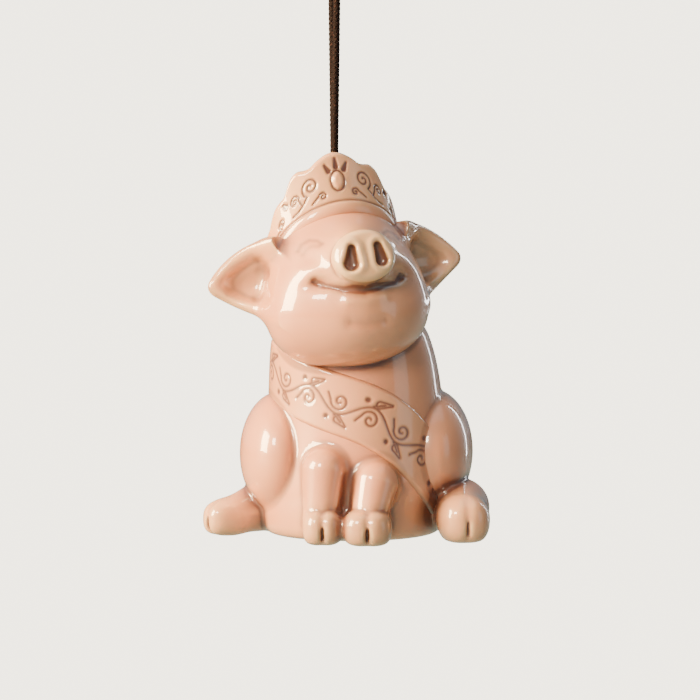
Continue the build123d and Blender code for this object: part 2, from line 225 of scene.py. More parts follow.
def snout_clay(q):
    """The snout's disc with the lips of its nostrils, and the two nostrils to press out."""
    x, y, z = q
    across = x - SNOUT[0], z - SNOUT[2]
    oval = np.sqrt((across[0] / SNOUT_HALF[0]) ** 2 + (across[1] / SNOUT_HALF[1]) ** 2)
    beside = (oval - 1) * SNOUT_MEAN + SNOUT_ROUND
    bow = SNOUT_BOW * (across[0] ** 2 + across[1] ** 2)
    before = np.abs(y - SNOUT[1] - bow) - SNOUT_THICK / 2 + SNOUT_ROUND
    disc = np.hypot(np.maximum(beside, 0), np.maximum(before, 0)) - SNOUT_ROUND
    disc = disc + np.minimum(np.maximum(beside, before), 0)
    nostril = np.minimum(*(rod(across, *shape) for shape in NOSTRILS))
    disc = disc - LIP_HEIGHT * dent(nostril - LIP_WIDTH, LIP_WIDTH) * (y < SNOUT[1])
    return disc, overlap(nostril, y - SNOUT[1], NOSTRIL_ROUND)


def head_clay(p):
    """The head with its snout and ears."""
    q = placed(p, HEAD_AT, HEAD_TURN)
    clay = egg(q, *SKULL)
    for lump in (RIGHT_JOWL, LEFT_JOWL, CHIN):
        clay = joined(clay, egg(q, *lump), LUMP_JOIN)
    clay = joined(clay, cut(rod(q, *MUZZLE), q[1] - MUZZLE_FRONT, MUZZLE_EDGE), MUZZLE_JOIN)
    for side in (-1, 1):
        clay = joined(clay, ear_clay(q, side), EAR_JOIN)
    near = np.abs(clay) < SKIN_DEPTH
    clay[near] += face_marks([c[near] for c in q])
    disc, nostrils = snout_clay(q)
    return cut(joined(clay, disc, SNOUT_JOIN), nostrils, NOSTRIL_EDGE)


# ---- body

# The body's middle in plan, its width, depth and height, and its rings as shares of those:
# height, shift to the side, shift back, width, depth
BODY_AT = (4.6, 4.4)
BODY_SIZE = (41.0, 42.0, 50.0)
RINGS = np.array([
    (0.00, -0.016, 0.010, 0.927, 0.905),
    (0.20, -0.004, 0.010, 1.000, 1.000),
    (0.44, 0.008, -0.002, 0.951, 0.952),
    (0.64, 0.011, -0.026, 0.898, 0.857),
    (0.84, -0.012, -0.074, 0.840, 0.738),
    (1.00, -0.030, -0.110, 0.690, 0.640),
])
RING_FITS = [np.polyfit(RINGS[:, 0], RINGS[:, i], 4) for i in range(1, 5)]
BASE_ROUND, SHOULDER_ROUND, SOLE_ROUND = 3.0, 6.0, 1.2

# Haunches: middle, half sizes, and how softly each is joined to the body
HAUNCHES = (
    ((21.4, 4.8, 18.5), (9.0, 15.5, 13.5), 0.9),
    ((-11.8, 4.0, 18.0), (9.0, 15.5, 13.5), 1.0),
)
# Forelegs: top, ankle, the trotter's middle and half sizes
LEGS = (
    ((8.9, -15.4, 13.2), (7.5, -17.8, 6.6), (7.1, -18.4, 3.9), (5.3, 5.4, 4.2)),
    ((-2.0, -14.5, 16.0), (-2.8, -16.2, 6.6), (-2.5, -16.8, 3.9), (4.3, 5.2, 4.2)),
)
LEG_RADII, LEG_JOIN, TROTTER_JOIN = (4.9, 3.9), 1.5, 0.6
# Hind feet: heel, ball, their radii, the toes' middle, heading in degrees and half sizes
FEET = (
    ((27.3, -1.4, 6.4), (27.7, -11.0, 5.2), (6.6, 5.4), (28.1, -12.6, 4.7), 8, (4.9, 4.9, 4.7)),
    ((-13.4, 6.6, 6.9), (-22.6, 1.0, 4.3), (6.4, 4.0), (-24.2, 0.0, 3.9), -58, (3.7, 4.4, 3.8)),
)
FOOT_JOIN, TOES_JOIN = 0.9, 2.4
TOE_SQUARENESS, SLIT_DEPTH, SLIT_WIDTH, CLEFT_DEPTH, CLEFT_WIDTH = 2.7, 1.1, 0.32, 0.3, 0.9
# Where the toes are parted, as shares of their half sizes, and over how many mm that fades
TOES_FRONT, TOES_FADE, SLIT_DROP, SLIT_HALF, SLIT_FADE = 0.4, 0.5, 0.25, 0.3, 0.3
TAIL_AT, TAIL_CURL, TAIL_CLIMB, TAIL_RADIUS, TAIL_JOIN = (4.6, 24.0, 9.5), 2.7, 0.48, 1.4, 0.8
TAIL_TURN, NECK_JOIN = (-0.6, 2.6 * pi), 0.8


def pebble(p, half):
    """Distance to a squarish rounded lump."""
    near = sum(np.abs(c / h) ** TOE_SQUARENESS for c, h in zip(p, half)) ** (1 / TOE_SQUARENESS)
    return (near - 1) * min(half)


def torso_clay(p):
    """The body alone, without limbs or sash."""
    x, y, z = p
    share = np.clip(z / BODY_SIZE[2], -0.05, 1.06)
    side, back, width, depth = (np.polyval(fit, share) for fit in RING_FITS)
    across, along = width * BODY_SIZE[0] / 2, depth * BODY_SIZE[1] / 2
    u = (x - BODY_AT[0] - side * BODY_SIZE[0]) / across
    v = (y - BODY_AT[1] - back * BODY_SIZE[1]) / along
    near = np.hypot(u, v) + 1e-4
    slope = np.hypot(u / across, v / along) + 1e-5
    clay = cut(near * (near - 1) / slope, z, BASE_ROUND)
    return cut(clay, BODY_SIZE[2] - z, SHOULDER_ROUND)


def toes(p, middle, heading, half):
    """A trotter of two toes that are parted by a slit in front, in the axes of the foot."""
    q = placed(p, middle, turn("Z", heading))
    front = 1 / (1 + np.exp((q[1] + half[1] * TOES_FRONT) / TOES_FADE))
    beyond = np.abs(q[2] + half[2] * SLIT_DROP) - half[2] * SLIT_HALF
    slit = front / (1 + np.exp(beyond / SLIT_FADE))
    cleft = CLEFT_DEPTH * dent(q[0], CLEFT_WIDTH) * front
    return pebble(q, half) + SLIT_DEPTH * dent(q[0], SLIT_WIDTH) * slit + cleft


def tail_clay(p):
    """A curl that stands out of the back."""
    x, y, z = TAIL_AT
    return stroke(p, [
        (x + TAIL_CURL * cos(a), y + TAIL_CLIMB * a, z - TAIL_CURL * sin(a))
        for a in np.linspace(*TAIL_TURN, 22)
    ]) - TAIL_RADIUS


def body_clay(p):
    """The body with its limbs and tail, without the sash."""
    clay = torso_clay(p)
    for middle, half, soft in HAUNCHES:
        clay = joined(clay, egg(p, middle, half), soft)
    for heel, ball, radii, tip, heading, half in FEET:
        foot = joined(rod(p, heel, ball, *radii), toes(p, tip, heading, half), TOES_JOIN)
        clay = joined(clay, foot, FOOT_JOIN)
    for top, ankle, trotter, half in LEGS:
        leg = joined(rod(p, top, ankle, *LEG_RADII), toes(p, trotter, 0, half), TROTTER_JOIN)
        clay = joined(clay, leg, LEG_JOIN)
    return cut(joined(clay, tail_clay(p), TAIL_JOIN), p[2], SOLE_ROUND)


# ---- clay to mesh


def probe(field, p, reach):
    """A field's values, outward directions and curvature at points."""
    value = field(p)
    slope, bend = [], -6 * value
    for axis in range(3):
        high, low = list(p), list(p)
        high[axis], low[axis] = p[axis] + reach, p[axis] - reach
        a, b = field(high), field(low)
        slope.append((a - b) / (2 * reach))
        bend = bend + a + b
    return value, np.array(slope), bend / reach**2


def skin(field, low, high, step):
    """Points and quads of a field's surface: one point in each grid cell that it crosses."""
    axes = [np.arange(a, b + step, step) for a, b in zip(low, high)]
    value = field(np.meshgrid(*axes, indexing="ij"))
    inside = value < 0
    cells, marks, quads = [], [], []
    for axis in range(3):
        b, c = (axis + 1) % 3, (axis + 2) % 3
        at = np.argwhere(np.diff(inside, axis=axis))
        ahead = at.copy()
        ahead[:, axis] += 1
        v0, v1 = value[tuple(at.T)], value[tuple(ahead.T)]
        crossing = at.astype(float)
        crossing[:, axis] += v0 / (v0 - v1)
        ring = []
        for ob, oc in ((0, 0), (-1, 0), (-1, -1), (0, -1)):
            cell = at.copy()
            cell[:, b] += ob
            cell[:, c] += oc
            ring.append(np.ravel_multi_index(cell.T, value.shape))
            cells.append(ring[-1])
            marks.append(crossing)
        ring = np.stack(ring, 1)
        outward = inside[tuple(at.T)]
        quads.append(np.where(outward[:, None], ring, ring[:, ::-1]))
    cells, marks, quads = np.concatenate(cells), np.concatenate(marks), np.concatenate(quads)
    kept, where = np.unique(cells, return_inverse=True)
    count = np.bincount(where)
    points = np.stack([np.bincount(where, marks[:, i]) / count for i in range(3)], 1)
    points = points * step + np.array(low)
    for _ in range(3):
        value, slope, _bend = probe(field, points.T, step / 4)
        points -= (slope * np.clip(value / (slope**2).sum(0), -step, step)).T
    return points, np.searchsorted(kept, quads)


def linked(name, data):
    """A new object in the scene."""
    piece = bpy.data.objects.new(name, data)
    bpy.context.scene.collection.objects.link(piece)
    return piece


def make_mesh(name, points, faces):
    """A smooth mesh object at the origin from points in metres."""
    mesh = bpy.data.meshes.new(name)
    points = np.asarray(points, np.float32)
    faces = np.asarray(faces, np.int32)
    mesh.vertices.add(len(points))
    mesh.vertices.foreach_set("co", points.ravel())
    mesh.loops.add(faces.size)
    mesh.loops.foreach_set("vertex_index", faces.ravel())
    mesh.polygons.add(len(faces))
    mesh.polygons.foreach_set("loop_start", np.arange(len(faces), dtype=np.int32) * faces.shape[1])
    mesh.update(calc_edges=True)
    mesh.validate()
    mesh.polygons.foreach_set("use_smooth", np.ones(len(mesh.polygons), bool))
    return linked(name, mesh)


def paint(piece, name, values):
    """Numbers on a piece's points, for its material."""
    layer = piece.data.attributes.new(name, "FLOAT", "POINT")
    layer.data.foreach_set("value", np.asarray(values, np.float32))


def whole_clay(p):
    """All the clay, to find its creases and edges."""
    return joined(head_clay(p), body_clay(p), NECK_JOIN)


# Share and width of the creamy spots
CREAMY_SNOUT, CREAMY_FEET, CREAMY_TROTTERS = (0.75, 7.5), (0.6, 6.0), (0.8, 5.5)


def creamy(p):
    """Where the clay was left creamier: the snout's face and the trotters' tips."""
    q = placed(p, HEAD_AT, HEAD_TURN)
    spots = [(q, SNOUT, *CREAMY_SNOUT)]
    spots += [(p, tip, *CREAMY_FEET) for _heel, _ball, _radii, tip, _heading, _half in FEET]
    spots += [(p, trotter, *CREAMY_TROTTERS) for _top, _ankle, trotter, _half in LEGS]
    cream = 0
    for place, middle, share, width in spots:
        away = np.sqrt(sum((c - m) ** 2 for c, m in zip(place, middle)))
        cream = cream + share * dent(away, width)
    return cream


# How much brown lies in each drawn line of the face, and how wide
RUBBED_EYES = ((LID, 0.5, 0.5), (LASH, 0.35, 0.45))
RUBBED_MOUTH = ((MOUTH, 0.4, 0.8), (CHIN_LINE, 0.15, 1.0))
RUBBED_FRONT = -7


def rubbed(p):
    """How much brown lies in the drawn lines of the face."""
    x, y, z = placed(p, HEAD_AT, HEAD_TURN)
    brown = 0
    for across, lines in ((-np.abs(x), RUBBED_EYES), (x, RUBBED_MOUTH)):
        for line, share, width in lines:
            brown = brown + share * dent(stroke((across, z), line), width)
    return brown * (y < RUBBED_FRONT)


# How far outside the skin other clay is felt for, and how much painted shade it lays on the glaze
# where it stands close to the skin
SHELTER_SHADE, SHELTER_FREE = ((1.5, 0.8), (3.5, 0.9)), 0.92
BEND_REACH, EDGE_REACH, EDGE_SHARE = 0.7, 2.5, 0.5
# What the skin's bend adds per unit, and from where: hollows darken the glaze, as pooled glaze
# with painted shade, ridges thin it
HOLLOW_GAIN, HOLLOW_FROM, RIDGE_GAIN, RIDGE_FROM, RIDGE_MOST = 0.8, 0.05, 0.6, 0.15, 0.8


def paint_glaze_and_shade(piece, points):
    """Where the glaze pools in creases, where painted shade darkens it next to other clay, and
    where it runs thin over edges.
    """
    places = points.T
    _value, slope, bend = probe(whole_clay, places, BEND_REACH)
    out = slope / np.maximum(np.sqrt((slope**2).sum(0)), 0.2)
    # Glaze pooled in hollows, which also darkens them as painted shade, and brown rubbed into the
    # face's lines
    pool = np.clip(-bend * HOLLOW_GAIN - HOLLOW_FROM, 0, 1) + rubbed(places)
    # Painted shade: the glaze darkens where other clay stands close outside the skin, in creases,
    # under overhangs and between limbs
    for away, share in SHELTER_SHADE:
        free = whole_clay(places + out * away) / away
        pool = pool + share * np.clip(SHELTER_FREE - free, 0, 1)
    edge = np.clip(1 + whole_clay(places - out * EDGE_REACH) / EDGE_REACH, 0, 1)
    ridge = np.clip(bend * RIDGE_GAIN - RIDGE_FROM, 0, RIDGE_MOST)
    thin = ridge + EDGE_SHARE * edge + creamy(places)
    paint(piece, "pool", np.clip(pool, 0, 1))
    paint(piece, "thin", np.clip(thin, 0, 1))


# ---- incised ornament

# How much of its size a curl loses on its way in, and its number of points
CURL_SHRINK, CURL_POINTS = 0.86, 22


def curl(middle, size, start, turns, hand, tail=()):
    """A volute from its outer end inwards, after the points of the stem that leads to it."""
    points = list(tail)
    for k in np.linspace(0, 1, CURL_POINTS):
        away = size * (1 - CURL_SHRINK * k)
        angle = radians(start) + hand * 2 * pi * turns * k
        points.append((middle[0] + away * cos(angle), middle[1] + away * sin(angle)))
    return points


TIARA_CURLS = (
    curl((6.1, 5.0), 2.1, -60, 1.5, 1, [(11.0, 1.2), (9.8, 1.3), (8.4, 2.0)]),
    curl((3.7, 2.0), 0.9, 20, 1.3, 1, [(6.2, 1.2)]),
    curl((10.2, 4.0), 1.2, 200, 1.4, -1, [(8.4, 2.0)]),
    curl((14.3, 2.1), 1.0, -70, 1.4, 1, [(16.6, 0.9)]),
)
TIARA_DROPS = (((0, 7.6), (0, 9.4)), ((1.7, 6.9), (2.4, 8.3)), ((12.4, 4.4), (13.0, 5.2)))
DROP_RADII, SCROLL_WIDTH, SCROLL_DEPTH = (0.42, 0.12), 0.27, 0.24
JEWEL_HEIGHT, JEWEL_HALF, JEWEL_MEAN, JEWEL_RIM, JEWEL_RELIEF = 4.6, (1.25, 1.75), 1.4, 0.35, 0.45


def tiara_marks(along, up):
    """Depth and colour of the scrolls on the tiara's face, which mirror each other."""
    p = (np.abs(along), up)
    lines = [stroke(p, line) for line in TIARA_CURLS]
    lines += [np.maximum(rod(p, *drop, *DROP_RADII), 0) for drop in TIARA_DROPS]
    oval = np.hypot(p[0] / JEWEL_HALF[0], (up - JEWEL_HEIGHT) / JEWEL_HALF[1])
    jewel = (oval - 1) * JEWEL_MEAN
    ink = dent(np.minimum.reduce([*lines, np.abs(jewel - JEWEL_RIM)]), SCROLL_WIDTH)
    swell = np.clip(-jewel / (JEWEL_MEAN / 2), 0, 1) ** 0.5
    return SCROLL_DEPTH * ink - JEWEL_RELIEF * swell, ink


VINE_LENGTH = 15.0
VINE_CURL = curl((VINE_LENGTH / 4, -0.75), 2.1, 175, 1.35, -1, [(0.7, -2.0)])
VINE_STEM = [(s, 2.0 * sin(2 * pi * s / VINE_LENGTH)) for s in np.linspace(-1.5, 9.0, 22)]
VINE_LEAF, VINE_VEIN = ((4.3, 3.1), (6.4, 4.1), 0.75, 0.15), ((3.2, 2.2), (5.2, 3.5))
VINE_DOT, DOT_RADIUS, VINE_WIDTH, VINE_DEPTH = (1.6, 3.1), 0.35, 0.34, 0.15
# The vine's middle and reach round the front of the body, and how fast it ends, in radians
VINE_MIDDLE, VINE_REACH, VINE_FADE = 0.08, 1.45, 0.12


def vine_marks(along, up):
    """Colour of the running vine on the sash: one curl and one leaf in each bay of its stem."""
    bay = np.floor(along / (VINE_LENGTH / 2))
    p = (along - bay * VINE_LENGTH / 2, up * np.where(bay % 2 == 0, 1, -1))
    lines = [stroke(p, line) for line in (VINE_CURL, VINE_STEM, VINE_VEIN)]
    dot = np.maximum(np.hypot(p[0] - VINE_DOT[0], p[1] - VINE_DOT[1]) - DOT_RADIUS, 0)
    return dent(np.minimum.reduce([*lines, np.abs(rod(p, *VINE_LEAF)), dot]), VINE_WIDTH)


# ---- tiara and sash

# The tiara bends round the head on one radius; its brow line falls towards the ears
TIARA_RADIUS, TIARA_BACK, TIARA_THICK, TIARA_REACH = 15.2, 4.7, 2.3, 84
TIARA_FOOT, BACK_FOOT, TIARA_STEPS, CREST_STEPS = 6.6, 1.5, 330, 120
BROW_HEIGHT, BROW_FALL, BROW_TILT = 16.5, 10.0, 0.4
BAND_HEIGHT, BEAD_RELIEF, BEAD_HALF = 5.4, 0.5, 1.5
# Lines along the band: heights over the brow line, width, depth and colour
BAND_LINES, LINE_WIDTH, LINE_DEPTH, LINE_INK = (0.15, -3.1), 0.3, 0.18, 0.75
# Least height of the crest, how far its top leans out, and the scrolls' distance from its edges
CREST_LEAST, CREST_FLARE, MARGIN_LOW, MARGIN_HIGH = 1.2, 0.35, 0.5, 0.2

# Height of the scalloped edge above the head's middle, at angles from the front in degrees,
# and over how many degrees its corners are softened
EDGE_SOFT = 2.0
TIARA_EDGE = (
    (0, 27.6), (7, 27.2), (15, 26.1), (22, 24.7), (27, 24.5), (33, 24.6), (39, 23.6), (44, 21.6),
    (48, 19.8), (53, 19.2), (59, 18.2), (65, 16.3), (69, 14.6), (74, 13.6), (79, 12.6), (90, 9.0),
)


def tiara_edge(angle):
    """Height of the scalloped edge above the head's middle, at an angle round the brow."""
    places, heights = zip(*TIARA_EDGE)
    spread = np.linspace(-1.75, 1.75, 9) * EDGE_SOFT
    weights = dent(spread, EDGE_SOFT)
    around = np.abs(np.degrees(angle)[..., None] + spread)
    return (np.interp(around, places, heights) * weights).sum(-1) / weights.sum()


def loft(rings, closed_round=False):
    """Quads between closed rings of points; the last ring can meet the first."""
    count, size = rings.shape[:2]
    index = np.arange(count * size).reshape(count, size)
    if closed_round:
        index = np.vstack([index, index[:1]])
    a, b = index[:-1], index[1:]
    return np.stack([a, np.roll(a, -1, 1), np.roll(b, -1, 1), b], 2).reshape(-1, 4)


def tiara_points():
    """The tiara's rings of points in the head's axes, with how deep and dark each is marked."""
    angles = np.linspace(radians(-TIARA_REACH), radians(TIARA_REACH), TIARA_STEPS)[:, None]
    brow = BROW_HEIGHT - BROW_FALL * (1 - np.cos(angles)) + BROW_TILT * np.sin(angles)
    edge = np.maximum(tiara_edge(angles), brow + CREST_LEAST)
    half = TIARA_THICK / 2
    share = np.linspace(0, 1, CREST_STEPS)[None, :]
    low = brow - BAND_HEIGHT
    face_up = low + (edge - half - low) * share
    bead = np.clip(1 - ((face_up - brow + BEAD_HALF) / BEAD_HALF) ** 2, 0, None)
    out = BEAD_RELIEF * np.sqrt(bead)
    out = out + CREST_FLARE * np.clip((face_up - brow) / 10, 0, 1) ** 2
    depth, ink = tiara_marks(angles * TIARA_RADIUS + 0 * face_up, face_up - brow)
    shown = (face_up > brow + MARGIN_LOW) & (face_up < edge - half - MARGIN_HIGH)
    line = sum(dent(face_up - brow - height, LINE_WIDTH) for height in BAND_LINES)
    out = out - np.where(shown, depth, 0) - LINE_DEPTH * line
    ink = np.clip(np.where(shown, ink, 0) + LINE_INK * line, 0, 1)
    bow = np.linspace(0, pi, 16)[None, 1:-1]
    top_out = out[:, -1:]
    roll_out = top_out - half + half * np.cos(bow)
    roll_up = edge - half + half * np.sin(bow)
    down = np.linspace(0, 1, 26)[None, :]
    back_out = (top_out - TIARA_THICK) * (1 - down) + down * -TIARA_THICK
    back_up = (edge - half) * (1 - down) + down * (TIARA_FOOT + BACK_FOOT)
    foot_out = np.linspace(-TIARA_THICK, 0, 5)[None, 1:-1] + 0 * angles
    foot_up = TIARA_FOOT + 0 * foot_out
    out = np.hstack([out, roll_out, back_out, foot_out])
    up = np.hstack([face_up, roll_up, back_up, foot_up])
    radius = TIARA_RADIUS + out
    points = np.stack([radius * np.sin(angles), TIARA_BACK - radius * np.cos(angles), up], 2)
    marks = np.zeros(up.shape)
    marks[:, : ink.shape[1]] = ink
    return points, marks


# The sash's middle line as sums of waves round the body: its mean height, then how far the
# front stands over the back, the right over the left, both over the sides, and how far it sags
SASH_HEIGHT, SASH_FRONT, SASH_SLANT, SASH_SWAY, SASH_DIP = 24.2, 2.6, 12.9, 2.1, 1.8
SASH_RADIUS, RUN_RADIUS, SASH_SUNK, SASH_EDGE_ROUND = 20.0, 20.3, 0.7, 1.1
# Its points, round and across, lie closer towards the edges; its back lies inside the body
SASH_STEPS, FACE_STEPS, BACK_STEPS, SASH_CROWDING = 680, 74, 14, 0.96
BACK_INSET, BACK_SUNK = 0.5, 0.9
EDGE_INK, EDGE_INK_WIDTH = 0.5, 0.5


def sash_line(a):
    """Height of the sash's middle line at an angle round the body, and how fast it climbs."""
    rise = SASH_HEIGHT + SASH_FRONT * np.cos(a) - SASH_SLANT * np.sin(a)
    rise = rise + SASH_SWAY * np.cos(2 * a) + SASH_DIP * np.sin(3 * a)
    climb = -SASH_FRONT * np.sin(a) - SASH_SLANT * np.cos(a)
    climb = climb - 2 * SASH_SWAY * np.sin(2 * a) + 3 * SASH_DIP * np.cos(3 * a)
    return rise, climb


def sash_points(width, proud):
    """The sash's rings of points on the body, with how dark each is marked."""
    a = np.linspace(-pi, pi, SASH_STEPS, endpoint=False)[:, None]
    rise, climb = sash_line(a)
    pitch = climb / SASH_RADIUS
    half, quarter = width / 2, pi / 2 * SASH_CROWDING
    across = half * np.sin(np.linspace(-1, 1, FACE_STEPS) * quarter)[None, :] / sin(quarter)
    back = np.linspace(half - BACK_INSET, BACK_INSET - half, BACK_STEPS)[None, :]
    whole = np.hstack([across, back])
    up = rise + whole * np.sqrt(1 + pitch**2)
    radius = np.full(up.shape, SASH_RADIUS)
    for _ in range(14):
        p = (BODY_AT[0] + radius * np.sin(a), BODY_AT[1] - radius * np.cos(a), up)
        radius = radius - torso_clay(p)
    p = np.stack([BODY_AT[0] + radius * np.sin(a), BODY_AT[1] - radius * np.cos(a), up])
    _value, slope, _bend = probe(torso_clay, p, 0.3)
    slope = slope / np.sqrt((slope**2).sum(0))
    run = np.cumsum(np.sqrt(1 + pitch**2) * RUN_RADIUS * (a[1, 0] - a[0, 0]), 0)
    run = run - run[len(a) // 2]
    away = half - np.abs(whole)
    bow = np.sqrt(1 - (1 - np.clip(away / SASH_EDGE_ROUND, 0, 1)) ** 2)
    out = (proud + SASH_SUNK) * bow - SASH_SUNK
    ink = np.zeros(up.shape)
    face = slice(0, across.shape[1])
    marked = vine_marks(run + (whole * pitch)[:, face], whole[:, face] + 0 * a)
    front = np.clip((VINE_REACH - np.abs(a - VINE_MIDDLE)) / VINE_FADE, 0, 1)
    ink[:, face] = marked * front
    out = out + 0 * a - VINE_DEPTH * ink
    rim = EDGE_INK * dent(away[:, face] + 0 * a, EDGE_INK_WIDTH)
    ink[:, face] = np.maximum(ink[:, face], rim)
    out[:, across.shape[1]:] = -BACK_SUNK
    points = (p + slope * out).transpose(1, 2, 0)
    return points, ink


# ---- node trees


class Wire:
    """A node's output that can be reckoned with like a number."""

    def __init__(self, tree, socket):
        self.tree, self.socket = tree, socket

    def math(self, operation, *others):
        values = {i: value for i, value in enumerate((self,) + others)}
        return self.tree.node("ShaderNodeMath", {"operation": operation}, values)

    def __rsub__(self, other):
        return self.tree.node("ShaderNodeMath", {"operation": "SUBTRACT"}, {0: other, 1: self})

    __add__ = __radd__ = partialmethod(math, "ADD")
    __sub__ = partialmethod(math, "SUBTRACT")
    __mul__ = __rmul__ = partialmethod(math, "MULTIPLY")
    __truediv__ = partialmethod(math, "DIVIDE")
    __mod__ = partialmethod(math, "FLOORED_MODULO")

    def clipped(self):
        return self.tree.node("ShaderNodeClamp", {}, {0: self})


class Tree:
    """Adds nodes to a material's, a world's or a modifier's tree."""

    def __init__(self, nodes):
        self.nodes = nodes

    def node(self, kind, settings, values, output=0):
        """A node with its settings, then the values or links of its sockets."""
        node = self.nodes.nodes.new(kind)
        for name, value in settings.items():
            setattr(node, name, value)
        for name, value in values.items():
            socket = node.inputs[name]
            if isinstance(value, Wire):
                self.nodes.links.new(value.socket, socket)
            else:
                socket.default_value = value
        return Wire(self, node.outputs[output])

    def mix(self, share, a, b):
        """A colour between two others."""
        values = {0: share, 6: a, 7: b}
        return self.node("ShaderNodeMix", {"data_type": "RGBA"}, values, 2)

    def noise(self, coordinates, scale, detail=2.0):
        values = {"Vector": coordinates, "Scale": scale, "Detail": detail}
        return self.node("ShaderNodeTexNoise", {}, values, 0)

    def attribute(self, name):
        return self.node("ShaderNodeAttribute", {"attribute_name": name}, {}, "Fac")

    def bump(self, strength, distance, height):
        values = {"Strength": strength, "Distance": distance, "Height": height}
        return self.node("ShaderNodeBump", {}, values)


def shaded(holder, output_kind, surface):
    """A material or a world with the one shader that a function of its tree gives."""
    holder.use_nodes = True
    nodes = holder.node_tree
    nodes.nodes.clear()
    output = nodes.nodes.new(output_kind)
    nodes.links.new(surface(Tree(nodes)).socket, output.inputs["Surface"])
    return holder


def material(name, surface):
    """A material whose one shader is given by a function of its tree."""
    return shaded(bpy.data.materials.new(name), "ShaderNodeOutputMaterial", surface)


def glaze(name, clay, pale, pooled_glaze_and_shade, ink, marked):
    """Clear glossy glaze over coloured clay: browner in creases, from pooled glaze and painted
    shade, creamier over edges.
    """

    def surface(tree):
        place = tree.node("ShaderNodeTexCoord", {}, {}, "Object")
        drift = tree.noise(place, 90.0, 3.0)
        cloud = tree.noise(place, 32.0)
        pool = (tree.attribute("pool") * (0.75 + 0.5 * drift)).clipped()
        thin = (tree.attribute("thin") * (0.7 + 0.6 * drift)).clipped()
        colour = tree.mix(((cloud - 0.5) * 1.1 + 0.3).clipped() * 0.3, clay, pale)
        colour = tree.mix(thin * 0.85, colour, pale)
        # Pooled glaze and painted shade darken the creases and the places under overhangs
        colour = tree.mix(pool * 0.95, colour, pooled_glaze_and_shade)
        if marked:
            colour = tree.mix(tree.attribute("ink") * 0.95, colour, ink)
        ripple = tree.noise(place, 420.0)
        swell = tree.noise(place, 110.0, 1.0)
        height = ripple * 0.12 + swell
        normal = tree.bump(0.10, 0.0004, height)
        return tree.node("ShaderNodeBsdfPrincipled", {}, {
            "Base Color": colour,
            "Roughness": 0.30 + 0.12 * drift,
            "Normal": normal,
            "Subsurface Weight": 0.12,
            "Subsurface Radius": (1.0, 0.45, 0.3),
            "Subsurface Scale": 0.0025,
            "Coat Weight": 1.0,
            "Coat Roughness": 0.025,
            "Coat IOR": 1.65,
        })

    return material(name, surface)


CORD_FLECK = (0.06, 0.022, 0.016, 1)


def braided_fibre_with_painted_shade(name, dark, light):
    """Yarns of a braided cord: fibres along each yarn, with painted shade that darkens the cord
    between the yarns and lightens it over their tops, and pale flecks.
    """

    def surface(tree):
        place = tree.node("ShaderNodeTexCoord", {}, {}, "Object")
        ridge = tree.attribute("ridge")
        fibre = tree.attribute("fibre")
        hair = (fibre * 40.0).math("SINE") * 0.5 + 0.5
        fleck = ((tree.noise(place, 2600.0) - 0.56) * 9.0).clipped()
        # Painted shade: the colour runs from dark between the yarns to light over their tops, with
        # stripes for the fibres across each yarn
        colour = tree.mix((ridge * 0.5 + hair * 0.25).clipped(), dark, light)
        colour = tree.mix((fleck * ridge * 0.8).clipped(), colour, CORD_FLECK)
        height = hair * 0.4 + tree.noise(place, 5200.0) * 0.6
        normal = tree.bump(0.5, 0.00008, height)
        return tree.node("ShaderNodeBsdfPrincipled", {}, {
            "Base Color": colour,
            "Roughness": 0.52 + 0.2 * hair,
            "Normal": normal,
            "Sheen Weight": 0.03,
            "Sheen Roughness": 0.4,
            "Specular IOR Level": 0.1,
        })

    return material(name, surface)


# ---- cord

# Heights in the frame: the loop's top, where its strands are taken over by the ends, and the knot
CORD_TOP, CORD_LOW, KNOT_TOP = 0.0008, -0.0458, -0.0555
STRAND_BESIDE = 0.00085
FRONT_STRAND = (
    (0, -STRAND_BESIDE, CORD_LOW), (0.00047, -0.00345, -0.0098), (0.0006, -0.0042, CORD_TOP),
)
KNOT_SIZE, KNOT_DROP, KNOT_WAVE = 0.0011, 0.0012, 0.0008


def cord_points():
    """The loop's route in the frame, up the front strand and down the back one."""
    return FRONT_STRAND + tuple((-x, -y, z) for x, y, z in reversed(FRONT_STRAND))


def knot_points():
    """The three-lobed round of the knot, just below the cord's ends."""
    return [
        (KNOT_SIZE * (sin(a) + 1.2 * sin(2 * a)), KNOT_SIZE * (cos(a) - 1.2 * cos(2 * a)),
         KNOT_TOP - KNOT_DROP + KNOT_WAVE * sin(3 * a))
        for a in (2 * pi * k / 18 for k in range(18))
    ]


def route_curve(name, points, cyclic=False):
    """A smooth curve along a route's points."""
    data = bpy.data.curves.new(name, "CURVE")
    data.dimensions = "3D"
    data.resolution_u = 24
    line = data.splines.new("NURBS")
    line.points.add(len(points) - 1)
    for point, place in zip(line.points, points):
        point.co = (*place, 1)
    line.order_u = 3
    line.use_endpoint_u = not cyclic
    line.use_cyclic_u = cyclic
    return linked(name, data)


def evaluated_mesh(piece):
    """A plain copy of what a piece's modifiers make of it."""
    found = piece.evaluated_get(bpy.context.evaluated_depsgraph_get())
    return bpy.data.meshes.new_from_object(found)


